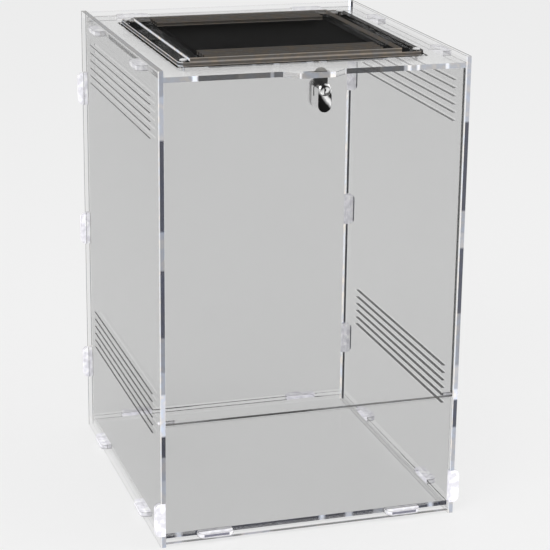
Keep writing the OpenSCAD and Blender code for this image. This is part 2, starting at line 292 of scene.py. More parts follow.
@dataclass(frozen=True)
class Streak:
    """A stretch of cut edge with a painted reflection of one tone.

    Attributes:
        side: The edge that it lies on.
        bounds: The axis, start and end of each range that it keeps to, in metres.
        level: Its tone, from black at 0 to white at 1.
        cover: How much it hides what is behind it, from 0 to 1.
        rim: The tone of the thin lines along its borders, or none where it has no lines.
        soft: How far it takes to fade in and out along its first range.
        hue: How far its tone leans to violet blue, up to 1, or to bronze, down to -1.
    """

    side: Side
    bounds: tuple[Bound, ...]
    level: float
    cover: float = EDGE_COVER
    rim: float | None = None
    soft: float = 0.003
    hue: float = 0.0

    def colour(self, level: float) -> Colour:
        """A tone as a colour, with the streak's lean."""
        cool, warm = max(self.hue, 0.0), max(-self.hue, 0.0)
        return (level * (1 - 0.25 * cool + 0.1 * warm), level * (1 - 0.14 * cool),
                level * (1 + 0.1 * cool - 0.12 * warm) + 0.015 * cool, 1.0)


def butted(side: Side, rim: float = 0.03, cover: float = 0.03) -> Streak:
    """A cut edge that lies against another sheet: clear, but for thin lines along its borders."""
    return Streak(side, (WHOLE,), 0.3, cover, rim)


@dataclass(frozen=True)
class SheetFinish:
    """Clear cast acrylic: see-through faces, and polished cut edges with painted reflections and
    glow.

    Attributes:
        name: The material's name.
        thin: The axis that the sheet is thin along.
        middle: The place of its mid-plane on that axis, without its sign for the side panels.
        half: Half its thickness.
        dark: The share of its cut edges that shows painted dark reflection, from 0 to 1.
        tab_x: How far from the middle of the width its tabs begin, or 0 for none.
        tab_y: Where its front and rear tabs begin along the depth, or none.
        streaks: Stretches of its edges with painted reflections, each of one tone.
        tint: How much a face hides what is behind it.
        face: The colour of a face.
        lilac: The middle tone of the painted reflections in its edges.
        bright: The tone of the painted highlights on its edges and the lines along their borders.
        line: The width of the thin lines along its borders.
        gloss: The strength of the reflections in its faces.
        bend: Its index of refraction.
        glow: How much painted glow its cut edges give out, though they are no lamp.
        tab_level: The tone of a tab's painted highlights, its brightest parts.
        tab_line: The tone of the lines along a tab's borders.
        tab_tip: How dark the painted shade on the ends of a side tab is, from 0 to 1.
        tab_right: How far right a tab turns to painted shade.
        tab_cover: How much a tab hides what is behind it.
        tab_glow: How much painted glow a tab gives out.
        tab_end: The colour of the painted shade on a tab that has turned dark.
        core_x: How far from the middle of the width its front tabs show a painted dark core in
            their ends.
        core_reach: Half the length of that core.
        core_half: Half its thickness.
        core: Its colour.
        middle_z: The height that parts its upper edges from its lower ones.
        lit: Ranges where its faces stay clear, past the sheets that meet it.
        clear: How clear they stay there, from 0 to 1.
    """

    name: str
    thin: str
    middle: float
    half: float = 0.0025
    dark: float = 0.3
    tab_x: float = 0.0
    tab_y: tuple[float, ...] = ()
    streaks: tuple[Streak, ...] = ()
    tint: float = 0.105
    face: Colour = (0.055, 0.0575, 0.0565, 1.0)
    lilac: Colour = (0.44, 0.43, 0.47, 1.0)
    bright: float = 0.9
    line: float = 0.0006
    gloss: float = 0.5
    bend: float = 1.49
    glow: float = 0.22
    tab_level: float = 0.75
    tab_line: float = 0.16
    tab_tip: float = 0.35
    tab_right: float = 1.0
    tab_cover: float = 0.6
    tab_glow: float = 0.15
    tab_end: Colour = (0.012, 0.016, 0.035, 1.0)
    core_x: float = 0.096
    core_reach: float = 0.0125
    core_half: float = 0.0013
    core: Colour = (0.12, 0.12, 0.16, 1.0)
    middle_z: float = MIDDLE_Z
    lit: tuple[Bound, ...] = ()
    clear: float = 0.85

    def build(self) -> Any:
        """Makes the material.

        Returns:
            The material.
        """
        material = bpy.data.materials.new(self.name)
        tree = Tree(material)
        at = Spot(tree, tree.across(), tree.facing())
        edge = at.facing[self.thin].absolute().less(SQUARE_ON)
        rim = self.rim(at)
        colour, cover = self.edges(at, rim)
        hidden = edge * cover
        tab = self.tab_mask(at)
        if tab is not None:
            border = rim * edge
            colour = tree.mix(tab, colour, self.tab_tone(at, border))
            tab_hides = self.tab_cover + (EDGE_COVER - self.tab_cover) * border
            hidden = hidden * (1 - tab) + tab * tab_hides
            edge = edge.maximum(tab)
        smear = tree.noise(7.0, 4.0, 0.6)
        film: Any = (self.tint + 0.012 * smear) * (1 - edge)
        for bound in self.lit:
            film = film * (1 - self.clear * at.between(bound))
        # Painted glow: the cut edges, and the tabs below, give out light in their own painted
        # colour, though they are no lamp.
        glow = tree.mix(edge * self.glow, grey(0.0), colour)
        if tab is not None:
            glow = tree.mix(tab * self.tab_glow, glow, colour)
        tree.surface(principled(
            tree, Base_Color=tree.mix(edge, self.face, colour), IOR=self.bend,
            Specular_IOR_Level=self.gloss, Roughness=0.03 + 0.05 * smear + edge * 0.12,
            Emission_Color=glow, Emission_Strength=1.0, Alpha=hidden.maximum(film),
            Normal=tree.bump(tree.noise(300.0, 2.0), 0.000002, 0.4)))
        material.surface_render_method = "BLENDED"
        return material

    def rim(self, at: Spot) -> Socket:
        """1 on the thin lines along the borders of its cut edges, and on its faces."""
        depth = at.across[self.thin]
        depth = depth.absolute() if self.thin == "X" else depth
        return (depth - self.middle).absolute().greater(self.half - self.line)

    def edges(self, at: Spot, rim: Socket) -> tuple[Any, Any]:
        """The look of its cut edges, painted reflections from the general tone to every streak.

        Args:
            at: The point.
            rim: 1 on the lines along their borders.

        Returns:
            Their colour and how much they hide.
        """
        tree = at.tree
        # Painted reflections along the cut edges, with painted highlight lines along their
        # borders.
        colour = tree.mix(rim, self.painted_edge_reflections(tree), grey(self.bright))
        cover: Any = EDGE_COVER
        for streak in self.streaks:
            inside = self.reach(at, streak)
            tone: Any = streak.colour(streak.level)
            covers: Any = streak.cover
            if streak.rim is not None:
                tone = tree.mix(rim, tone, streak.colour(streak.rim))
                covers = streak.cover + (LINE_COVER - streak.cover) * rim
            colour = tree.mix(inside, colour, tone)
            cover = inside * (covers - cover) + cover
        colour, cover = self.detail(at, colour, cover)
        return self.drift(tree, colour), cover

    def detail(self, at: Spot, colour: Any, cover: Any) -> tuple[Any, Any]:
        """Adds what only some sheets have; here, nothing.

        Args:
            at: The point.
            colour: The colour of the cut edges.
            cover: How much they hide.

        Returns:
            The colour and the cover.
        """
        return colour, cover

    def reach(self, at: Spot, streak: Streak) -> Socket:
        """1 where a streak lies, fading to 0 at the ends of its first range.

        Args:
            at: The point.
            streak: The streak.

        Returns:
            The mask.
        """
        (axis, low, high), *others = streak.bounds
        inside = at.tree.clamp((at.across[axis] - low) * (1 / streak.soft))
        inside = inside * at.tree.clamp((high - at.across[axis]) * (1 / streak.soft))
        for bound in others:
            inside = inside * at.between(bound)
        axis, sign = streak.side.value
        if not axis:
            return inside
        inside = inside * at.facing[axis].absolute().greater(ROUGHLY)
        middle = self.middle_z if axis == "Z" else 0.0
        return inside * ((at.across[axis] - middle) * sign).greater(0.0)

    def drift(self, tree: Tree, colour: Any) -> Socket:
        """Lets a colour wander between warm and cool along the cut edges.

        Args:
            tree: The material's tree.
            colour: The colour.

        Returns:
            The uneven colour.
        """
        warm, cool = (1.0, 0.94, 0.87, 1.0), (0.87, 0.92, 1.0, 1.0)
        between = (0.85, 0.85, 0.87, 1.0)
        lean = tree.ramp(((0.36, warm), (0.5, between), (0.64, cool)), tree.noise(120.0, 3.0))
        return tree.node("ShaderNodeVectorMath", {"operation": "MULTIPLY"}, colour, lean)

    def tab_shade(self, share: float) -> Colour:
        """A tab's painted highlight tone in that share, a little violet."""
        level = self.tab_level * share
        return (0.98 * level, 0.97 * level, 1.03 * level, 1.0)

    def tab_tone(self, at: Spot, border: Socket) -> Socket:
        """The colour of a tab: painted glassy highlights, with lines along its borders and painted
        shade at its ends.

        Args:
            at: The point.
            border: 1 on the lines along the borders of cut edges.

        Returns:
            The colour.
        """
        tree, x = at.tree, at.across["X"]
        # Painted highlights: the tab's body is a bright, uneven glassy tone.
        body = tree.ramp(((0.38, self.tab_shade(0.72)), (0.52, self.tab_shade(0.9)),
                          (0.62, grey(self.tab_level))), tree.noise(150.0, 2.0))
        ends = at.facing["Y" if self.thin == "Z" else "Z"].absolute().greater(ROUGHLY)
        ends = ends * x.absolute().greater(SIDES_FROM)
        body = tree.mix(0.7 * border, body, grey(self.tab_line))
        # Painted shade on the ends of side tabs, and on the tabs at the far right.
        body = tree.mix(self.tab_tip * ends, body, grey(0.08))
        body = tree.mix(x.greater(self.tab_right), body, self.tab_end)
        return self.tab_core(at, body)

    def tab_core(self, at: Spot, body: Socket) -> Socket:
        """Paints shade in the middle of the ends of front tabs.

        Args:
            at: The point.
            body: The tabs' own colour.

        Returns:
            The tabs' colour.
        """
        if self.thin != "Z" or len(self.tab_y) < 2:
            return body
        core = (at.facing["Y"] * -1.0).greater(0.8)
        core = core * (at.across["Z"] - self.middle).absolute().less(self.core_half)
        core = core * (at.across["X"].absolute() - self.core_x).absolute().less(self.core_reach)
        return at.tree.mix(core, body, self.core)

    def painted_edge_reflections(self, tree: Tree) -> Socket:
        """The painted reflection of a cut edge, which runs from dark to bright along it.

        Args:
            tree: The material's tree.

        Returns:
            The colour.
        """
        shift = float(sum(ord(letter) for letter in self.name) % 97)
        moved = tree.node("ShaderNodeVectorMath", {"operation": "ADD"}, tree.place(),
                          (shift, shift * 0.7, 0.0))
        wave = tree.noise(16.0, 3.0, 0.6, vector=moved)
        middle = 0.35 + 0.3 * self.dark
        return tree.ramp((
            (0.0, grey(0.015)), (middle - 0.01, grey(0.03)), (middle + 0.03, self.lilac),
            (middle + 0.14, self.lilac), (middle + 0.18, grey(self.bright))), wave)

    def tab_mask(self, at: Spot) -> Socket | None:
        """1 on the tabs, or none if the sheet has no tabs."""
        x, y = at.across["X"], at.across["Y"]
        masks = [x.absolute().greater(self.tab_x)] if self.tab_x else []
        masks += [(y.greater(limit) if limit > 0 else y.less(limit)) for limit in self.tab_y]
        if not masks:
            return None
        whole = masks[0]
        for mask in masks[1:]:
            whole = whole.maximum(mask)
        return whole


@dataclass(frozen=True)
class VentedFinish(SheetFinish):
    """Clear acrylic with rows of slots, each of which shows as one fine painted dark line.

    Attributes:
        rows: The middle height of the top slot of each group.
        pitch: How far apart the slots are.
        slot: The height of a slot.
        count: How many slots a group has.
        lip: How deep the dark line reaches into a slot.
    """

    rows: tuple[float, ...] = (0.434, 0.146)
    pitch: float = 0.0079
    slot: float = 0.0018
    count: int = 6
    lip: float = 0.0014

    def detail(self, at: Spot, colour: Any, cover: Any) -> tuple[Any, Any]:
        """Paints a dark line of shade on the lower lip of every slot, at the outer face.

        Args:
            at: The point.
            colour: The colour of the cut edges.
            cover: How much they hide.

        Returns:
            The colour and the cover.
        """
        z = at.across["Z"]
        outer = at.across["X"].absolute().greater(self.middle + self.half - self.lip)
        for row in self.rows:
            top = row + self.pitch / 2
            near = z.less(top) * z.greater(top - self.pitch * self.count)
            phase = (z - (row - self.slot / 2)) * (1 / self.pitch) + (self.count + 0.05)
            level = at.facing["Z"].absolute().greater(0.85)
            line = near * phase.fraction().less(0.1) * level * outer
            # Painted shade: a fine dark line at each slot's lower lip.
            colour = at.tree.mix(line, colour, grey(0.025))
            cover = line * (0.92 - cover) + cover
        return colour, cover


@dataclass(frozen=True)
class MetalFinish:
    """Plated or painted metal with fine wear.

    Attributes:
        name: The material's name.
        colour: Its colour.
        roughness: How rough it is on average, from 0 to 1.
        metallic: How much it reflects as bare metal, from 0 to 1.
        grain: How many waves of wear it has a metre.
    """

    name: str
    colour: Colour
    roughness: float
    metallic: float = 1.0
    grain: float = 900.0

    def tone(self, tree: Tree) -> Any:
        """The base colour, a little uneven.

        Args:
            tree: The material's tree.

        Returns:
            The colour.
        """
        dull = tuple(0.82 * part for part in self.colour[:3]) + (1.0,)
        return tree.mix(tree.noise(140.0, 3.0), self.colour, dull)

    def build(self) -> Any:
        """Makes the material.

        Returns:
            The material.
        """
        material = bpy.data.materials.new(self.name)
        tree = Tree(material)
        fine = tree.noise(self.grain, 4.0, 0.6)
        broad = tree.noise(60.0, 2.0)
        tree.surface(principled(
            tree, Base_Color=self.tone(tree), Metallic=self.metallic,
            Roughness=self.roughness + 0.08 * (broad - 0.5) + 0.05 * fine,
            Normal=tree.bump(fine, 0.00002, 0.4)))
        return material


@dataclass(frozen=True)
class ChromeFinish(MetalFinish):
    """Bright chrome whose front shows the room as bands of black and white.

    Attributes:
        centre: The place of the bands' middle, along X and Z.
        width: How wide all the bands are together.
        turn: The direction across the bands, in degrees from X.
        warp: How far the bands wander.
        bands: The stops of the painted reflection bands, from one side of the front to the other.
        frontal: The least part of a normal that looks forwards, for a face with bands.
    """

    centre: tuple[float, float] = (0.0, 0.4342)
    width: float = 0.03
    turn: float = -35.0
    warp: float = 0.12
    bands: Stops = ()
    frontal: float = 0.7

    def tone(self, tree: Tree) -> Any:
        """Painted reflection bands across the front, and a plain bright tone round the side.

        Args:
            tree: The material's tree.

        Returns:
            The colour.
        """
        across = tree.across()
        front = (tree.facing()["Y"] * -1.0).greater(self.frontal)
        angle = math.radians(self.turn)
        share = (across["X"] - self.centre[0]) * (math.cos(angle) / self.width)
        share = share + (across["Z"] - self.centre[1]) * (math.sin(angle) / self.width)
        share = share + 0.5 + self.warp * (tree.noise(170.0, 2.0) - 0.5)
        return tree.mix(front, self.colour, tree.ramp(self.bands, share))


@dataclass(frozen=True)
class CamFinish(MetalFinish):
    """Black plated cam, grey at the tip that lies over the top sheet.

    Attributes:
        tip_from: The height where the tip begins.
        tip_colour: The colour at the tip.
    """

    tip_from: float = 0.4565
    tip_colour: Colour = (0.34, 0.33, 0.31, 1.0)

    def tone(self, tree: Tree) -> Any:
        """Black, and grey at the tip.

        Args:
            tree: The material's tree.

        Returns:
            The colour.
        """
        tip = tree.across()["Z"].greater(self.tip_from)
        return tree.mix(tip * (0.5 + 0.5 * tree.noise(300.0)), self.colour, self.tip_colour)


@dataclass(frozen=True)
class MeshFinish:
    """Black woven mesh, whose threads show close up.

    Attributes:
        name: The material's name.
        thread: The colour of the threads.
        patch: The colour that they drift to, in patches.
        pitch: How far apart every second thread is.
    """

    name: str = "black_mesh"
    thread: Colour = (0.004, 0.004, 0.004, 1.0)
    patch: Colour = (0.005, 0.005, 0.005, 1.0)
    pitch: float = 0.0011

    def build(self) -> Any:
        """Makes the material.

        Returns:
            The material.
        """
        material = bpy.data.materials.new(self.name)
        tree = Tree(material)
        across = tree.across()
        turn = 2 * math.pi / self.pitch
        weave = (across["X"] * turn).sine() * (across["Y"] * turn).sine()
        patches = tree.noise(18.0, 3.0)
        tree.surface(principled(
            tree, Base_Color=tree.mix(patches, self.thread, self.patch),
            Roughness=0.75 + 0.2 * patches, Specular_IOR_Level=0.05,
            Normal=tree.bump(weave, 0.0001, 0.2)))
        return material


def paint(node: str, material: Any) -> None:
    """Gives a CAD node one material, and reports it."""
    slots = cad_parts[node].data.materials
    slots.clear()
    slots.append(material)
    LOG.info("%s: %s", node, material.name)


def run(side: Side, axis: str, marks: Sequence[Mark], *others: Bound, hue: float = 0.0,
        cold: float = 1.0, soft: float = 0.0015) -> tuple[Streak, ...]:
    """A row of painted reflection streaks along one edge.

    Args:
        side: The way the edge looks.
        axis: The axis that it runs along.
        marks: The start, end and tone of each streak, the places in millimetres.
        others: More ranges that they keep to.
        hue: How far the paler tones lean to violet blue.
        cold: How far the dark tones lean there.
        soft: How far each takes to fade in and out, in metres.

    Returns:
        The streaks.
    """
    return tuple(Streak(side, ((axis, low * MM - soft, high * MM + soft), *others), level, 0.94,
                        hue=hue if level > 0.15 else cold, soft=soft)
                 for low, high, level in marks)


@dataclass
class BoxShell:
    """The six fixed sheets of the box.

    Attributes:
        front_y: The front of the box.
        back_y: The back of the box.
        inner_x: How far from the middle of the width the side panels' inner faces are.
        middle_x: The same for the middle of their thickness.
        outer_x: The same for their outer faces.
        joint_x: The same for the start of the other sheets' tabs.
        band: The width of the light band along the side panels' front edges.
        fit: How far from the front or back of the box the tabs there begin.
        roof_z: A height just under the side panels' upper edges.
        tab_level: The tone of the brightest parts of most sheets' tabs.
    """

    front_y: float = -0.15765
    back_y: float = 0.17235
    inner_x: float = 0.145
    middle_x: float = 0.1475
    outer_x: float = 0.150
    joint_x: float = 0.1452
    # band: The width of the painted highlight band along the side panels' front edges.
    band: float = 0.0011
    fit: float = 0.0048
    roof_z: float = 0.46
    # tab_level: The tone of the painted highlights, the brightest parts, of most sheets' tabs.
    tab_level: float = 0.95

    def right_side(self) -> SheetFinish:
        """The right side panel, whose rear edge has a painted highlight inside and a painted dark
        reflection outside.

        Returns:
            Its finish.
        """
        # Painted reflections up the front edge: start and end in millimetres, and tone.
        marks = ((-1, 24, 0.5), (24, 57, 0.5), (57, 93, 0.42), (93, 122, 0.05), (122, 133, 0.9),
                 (133, 158, 0.5), (158, 211, 0.3), (211, 277, 0.05), (277, 292, 0.42),
                 (292, 314, 0.34), (314, 400.5, 0.035), (400.5, 462, 0.46))
        band_end = self.inner_x + self.band
        rise, behind = ("Z", self.roof_z, 0.47), ("Y", self.back_y - 0.001, FAR)
        within, without = ("X", 0.0, self.middle_x), ("X", self.middle_x, FAR)
        others = (
            # Painted highlight inside the rear edge, past white so that it glows, and a painted
            # dark reflection outside it; painted reflections along the upper edge.
            Streak(Side.BACK, (within, behind), 1.7, 0.97, soft=0.0002),
            Streak(Side.BACK, (without, behind), 0.006, 0.98, soft=0.0002, hue=0.9),
            Streak(Side.UP, (rise,), 0.6, 0.3, soft=0.0005),
            Streak(Side.UP, (rise, ("X", 0.0, 0.1458)), 0.05, 0.85, soft=0.0005),
            Streak(Side.UP, (rise, ("X", 0.1485, FAR)), 0.1, 0.9, soft=0.0005))
        return self.side("acrylic_right", 0.125, 0.0035, marks, others,
                         ("X", 0.0, band_end), ("X", band_end, FAR))

    def left_side(self) -> SheetFinish:
        """The left side panel.

        Returns:
            Its finish.
        """
        # Painted reflections up the front edge: start and end in millimetres, and tone.
        marks = ((-1, 29, 0.45), (29, 70, 0.36), (70, 94, 0.26), (94, 115, 0.015), (115, 157, 0.7),
                 (157, 179, 0.36), (179, 213, 0.24), (213, 278, 0.035), (278, 315, 0.3),
                 (315, 400, 0.03), (400, 440, 0.44), (440, 462, 0.3))
        band_end = -self.outer_x + self.band
        # A painted dark reflection along the upper edge.
        others = (butted(Side.BACK, 0.3),
                  Streak(Side.UP, (("Z", self.roof_z, 0.47),), 0.15, 0.9, 0.08, 0.0005))
        return self.side("acrylic_left", 0.165, 0.0014, marks, others,
                         ("X", -FAR, band_end), ("X", band_end, 0.0))

    def side(self, name: str, tint: float, lip: float, marks: Sequence[Mark],
             others: tuple[Streak, ...], light: Bound, core: Bound) -> SheetFinish:
        """A side panel: a front edge in two bands of painted highlight, the inner one broken by
        painted reflections, and vent slots with one painted dark line each.

        Args:
            name: The finish's name.
            tint: How much a face hides what is behind it.
            lip: How deep the dark line reaches into a slot.
            marks: The start, end and tone of each painted reflection streak up the front edge.
            others: The streaks of the rear and upper edges.
            light: Where the painted highlight band of the front edge lies.
            core: Where its streaks lie.

        Returns:
            Its finish.
        """
        walls = (("Z", 0.003, 0.4585), ("Y", self.front_y + 0.002, self.back_y - 0.002))
        ahead = ("Y", -FAR, self.front_y + 0.001)
        # Painted light on the cut edges: the lower edge, a painted highlight band and a row of
        # painted reflections up the front edge.
        streaks = (
            Streak(Side.ANY, walls, 0.3, 0.0, soft=CRISP),
            Streak(Side.DOWN, (("Z", -FAR, 0.003),), 0.5, 0.1, 0.5, CRISP), *others,
            Streak(Side.FRONT, (WHOLE, light, ahead), 0.82, 0.85),
            Streak(Side.FRONT, (WHOLE, core, ahead), 0.85, 0.9),
            *run(Side.FRONT, "Z", marks, core, ahead, hue=0.35, soft=0.002))
        return VentedFinish(
            name, "X", self.middle_x, dark=0.1, streaks=streaks, tint=tint, clear=0.6, lip=lip,
            lit=(("Z", -FAR, 0.0125), ("Z", 0.4563, FAR), ("Y", 0.1672, FAR)))

    def back(self) -> SheetFinish:
        """The back panel, with tabs whose right ends carry painted shade.

        Returns:
            Its finish.
        """
        return SheetFinish(
            "acrylic_back", "Y", 0.16985, tab_x=self.joint_x, line=0.0005, tint=0.12,
            tab_level=self.tab_level, tab_cover=0.85, tab_tip=0.2, tab_right=0.1541,
            lit=(("Z", -FAR, 0.012), ("Z", 0.4563, FAR)), streaks=(
                # A painted highlight line along the right edge, and painted reflections on the
                # lower and upper edges.
                butted(Side.LEFT, 0.25), butted(Side.RIGHT, 0.9),
                Streak(Side.DOWN, (("Z", -FAR, 0.1),), 0.3, 0.0),
                Streak(Side.UP, (("Z", 0.45, 0.47),), 0.7, 0.25, 0.3)))

    def bottom(self) -> SheetFinish:
        """The bottom panel, whose front edge runs through painted highlights and painted dark
        reflections.

        Returns:
            Its finish.
        """
        # Painted reflections, dark and bright, along the front edge: start and end in millimetres,
        # and tone.
        marks = ((-144.5, -132.7, 0.01), (-132.7, -126.8, 0.75), (-126.8, -113, 0.03),
                 (-79, -9, 0.022), (-9, 12.6, 0.008), (12.6, 17.8, 0.9), (17.8, 39, 0.01),
                 (39.6, 44.8, 0.7), (46.9, 68.9, 0.03), (68.9, 79, 0.35), (113, 125, 0.05),
                 (127, 131.4, 0.9), (132, 145.3, 0.04))
        # Painted shade: dark lines along the right and back edges.
        right_line = (("Z", 0.0105, 0.0121), ("X", 0.1, FAR))
        back_line = (("X", -0.09, -0.02), ("Z", 0.0107, 0.0121))
        return SheetFinish(
            "acrylic_bottom", "Z", 0.0095, dark=0.62, tab_x=self.joint_x, line=0.0009, tint=0.10,
            tab_level=self.tab_level, tab_line=0.3, tab_tip=0.25, tab_cover=0.9,
            lit=(("X", 0.1395, FAR), ("Y", 0.157, FAR)), clear=0.5,
            tab_y=(self.back_y - self.fit, self.front_y + self.fit), streaks=(
                butted(Side.LEFT, 0.5), butted(Side.RIGHT, 0.3), butted(Side.BACK, 0.02),
                Streak(Side.RIGHT, right_line, 0.004, 0.95, soft=CRISP),
                Streak(Side.BACK, back_line, 0.008, 0.95, soft=0.02),
                *run(Side.FRONT, "X", marks, hue=0.3, soft=0.003)))

    def front(self) -> SheetFinish:
        """The front lower panel.

        Returns:
            Its finish.
        """
        return SheetFinish(
            "acrylic_front", "Y", -0.15515, dark=0.5, tab_x=self.joint_x, line=0.0005,
            tint=0.112, tab_level=self.tab_level, tab_cover=0.9, middle_z=0.063,
            lit=(("Z", -FAR, 0.0075),), streaks=(
                # Painted shade: a dark band low on the cut edges; painted reflections on the upper
                # and lower edges.
                Streak(Side.ANY, (("Z", 0.0035, 0.016),), 0.02, 0.35, 0.02, 0.0005),
                Streak(Side.UP, (("Z", 0.1, 0.13),), 0.3, 0.12, 0.08),
                Streak(Side.DOWN, (("Z", -0.1, 0.0035),), 0.2, 0.2, 0.12),
                butted(Side.LEFT, 0.1), butted(Side.RIGHT, 0.12)))

    def top(self) -> SheetFinish:
        """The top panel, whose front edge carries the long painted reflections, dark and bright.

        Returns:
            Its finish.
        """
        # Painted reflections, dark and bright, along the front edge: start and end in millimetres,
        # and tone.
        marks = ((-145.3, -119.6, 0.33), (-117.5, -114.6, 0.9), (-112.3, -75, 0.05),
                 (-75, -44.8, 0.075), (-44.8, -41.6, 0.3), (-41.6, -25.3, 0.08),
                 (-24.5, -20.5, 0.8), (-18.8, 7.5, 0.3), (8, 13.5, 0.9), (15, 19.5, 0.03),
                 (20, 26, 0.75), (27.4, 60, 0.035), (60, 84, 0.07), (84, 87, 0.4),
                 (87.4, 90.4, 0.9), (91, 96, 0.42), (96.5, 99, 0.9), (99.5, 124.5, 0.42),
                 (125, 128, 0.9), (128.5, 146, 0.45))
        return SheetFinish(
            "acrylic_top", "Z", 0.4538, dark=0.2, tab_x=self.joint_x,
            # Painted light: the faces are pale, where the other sheets' faces are dark.
            tab_y=(self.back_y - self.fit,), tint=0.3, face=grey(0.88), streaks=(
                *run(Side.FRONT, "X", marks, hue=0.15, cold=0.1), butted(Side.LEFT, 0.5, 0.3),
                # Painted dark reflections on two stretches of the left edge.
                Streak(Side.LEFT, (("Y", -0.066, 0.066),), 0.1, 0.9, 0.3),
                Streak(Side.LEFT, (("Y", -0.142, -0.116),), 0.1, 0.9, 0.3),
                butted(Side.RIGHT, 0.25), butted(Side.BACK, 0.3)))

    def build(self) -> None:
        """Dresses the six sheets."""
        for node, finish in (
                ("left_side_panel", self.left_side()), ("right_side_panel", self.right_side()),
                ("back_panel", self.back()), ("bottom_panel", self.bottom()),
                ("front_lower_panel", self.front()), ("top_panel", self.top())):
            paint(node, finish.build())


@dataclass
class TopVent:
    """The mesh with its wire ends, the frame that clamps it and the loose cover.

    Attributes:
        inside: How far from the middle of the width a sheet's outer left edge is at least.
        wire: The radius of a wire.
        pitch: How far apart the wire ends are.
        jitter: How far from its even place a wire end may stand.
        root: How deep it starts inside the mesh.
        shortest: The least length that a wire end is drawn from.
        longest: The greatest.
        trim: The least share of that length that is left.
        taper: The width of its free end, as a share.
        sweep: How far it may lean to either side, in degrees.
        seed: The seed of the draws.
    """

    inside: float = 0.105
    wire: float = 0.0003
    pitch: float = 0.0009
    jitter: float = 0.0003
    root: float = 0.0004
    shortest: float = 0.0004
    longest: float = 0.0024
    trim: float = 0.4
    taper: float = 0.45
    sweep: float = 22.0
    seed: int = 7

    def sheet(self, name: str, middle: float, left: float, lines: float,
              right: float) -> SheetFinish:
        """Thin acrylic over the mesh, with bronze lines along its edges.

        Args:
            name: The finish's name.
            middle: The height of its mid-plane.
            left: The tone of the painted reflection on its left edge.
            lines: The tone of the painted lines along that edge.
            right: The tone of the painted reflection on its right edge.

        Returns:
            The finish.
        """
        tall = (("Z", 0.4, 0.5),)
        low_front = (("Z", 0.4609, 0.5), ("Y", -0.112, 0.0))
        # Painted reflections on the cut edges: bronze at the front and back, grey and dark at the
        # sides.
        walls = (Streak(Side.FRONT, tall, 0.10, 0.9, 0.26, hue=-1.0),
                 Streak(Side.FRONT, low_front, 0.09, 0.85, 0.11, CRISP, -1.0),
                 Streak(Side.BACK, tall, 0.05, 0.6, 0.12, hue=-1.0),
                 Streak(Side.RIGHT, tall, 0.02, 0.6, 0.03),
                 Streak(Side.RIGHT, (*tall, ("X", 0.092, FAR)), right, 0.85, hue=-1.0),
                 Streak(Side.LEFT, tall, 0.012, 0.6, 0.03),
                 Streak(Side.LEFT, (*tall, ("X", -FAR, -self.inside)), left, 0.9, lines))
        return SheetFinish(
            name, "Z", middle, 0.002, dark=0.5, bright=0.5, tint=0.03, gloss=0.05, bend=1.05,
            face=(0.02, 0.019, 0.017, 1.0), lilac=(0.16, 0.15, 0.135, 1.0), line=0.0008,
            streaks=walls)

    def wire_end(self) -> Any:
        """Models one cut wire, tapered to its free end, which lies along X from the origin.

        Returns:
            The object.
        """
        bpy.ops.object.select_all(action="DESELECT")
        bpy.ops.mesh.primitive_cylinder_add(
            vertices=5, radius=self.wire, depth=1.0, location=(0.5, 0.0, 0.0),
            rotation=(0.0, math.pi / 2, 0.0))
        wire = bpy.context.object
        bpy.ops.object.transform_apply(location=True, rotation=True, scale=True)
        bpy.ops.object.mode_set(mode="EDIT")
        shape = bmesh.from_edit_mesh(wire.data)
        for vertex in shape.verts:
            vertex.select = vertex.co.x > 0.5
        shape.select_flush(True)
        bmesh.update_edit_mesh(wire.data)
        bpy.ops.transform.resize(value=(1.0, self.taper, self.taper))
        bpy.ops.object.mode_set(mode="OBJECT")
        return wire

    def fringe(self) -> Any:
        """Models the cut wires that stick out all round the mesh.

        Returns:
            The piece.
        """
        low, high = (Vector(corner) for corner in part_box("vent_mesh"))
        middle = (low + high) / 2
        draw = random.Random(self.seed)
        master = self.wire_end()
        parts = []
        reach, half = high.x - middle.x, high.y - middle.y
        for quarter in (0, 90, 180, 270):
            turn = Matrix.Rotation(math.radians(quarter), 4, "Z")
            for index in range(int(2 * half / self.pitch)):
                shift = draw.uniform(-self.jitter, self.jitter)
                along = -half + (index + 0.5) * self.pitch + shift
                length = draw.uniform(self.shortest, self.longest) * draw.uniform(self.trim, 1.0)
                lean = math.radians(draw.uniform(-self.sweep, self.sweep))
                place = (Matrix.Translation(middle) @ turn
                         @ Matrix.Translation((reach - self.root, along, 0.0))
                         @ Matrix.Rotation(lean, 4, "Z")
                         @ Matrix.Diagonal((length + self.root, 1.0, 1.0, 1.0)))
                copy = bpy.data.objects.new("wire", master.data.copy())
                copy.data.transform(place)
                bpy.context.collection.objects.link(copy)
                parts.append(copy)
            reach, half = half, reach
        bpy.ops.object.select_all(action="DESELECT")
        for part in parts:
            part.select_set(True)
        bpy.context.view_layer.objects.active = parts[0]
        bpy.ops.object.join()
        piece = bpy.context.object
        piece.name = "mesh_wire_ends"
        bpy.data.objects.remove(master)
        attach(piece, "box")
        return piece

    def build(self) -> None:
        """Dresses the mesh, frame, cover and screws, and adds the wire ends."""
        paint("vent_mesh", MeshFinish().build())
        # The frame's left edge is a painted dark reflection with bright lines; the cover's left
        # edge is a painted highlight.
        paint("vent_frame", self.sheet("acrylic_frame", 0.4589, 0.12, 0.8, 0.02).build())
        paint("vent_cover", self.sheet("acrylic_cover", 0.4629, 0.95, 0.1, 0.14).build())
        paint("vent_screws", MetalFinish("steel_screw", grey(0.92), 0.25, 0.5).build())
        piece = self.fringe()
        finish = MeshFinish("wire_ends", (0.03, 0.026, 0.02, 1.0))
        piece.data.materials.append(finish.build())
        LOG.info("%s: %s", piece.name, finish.name)


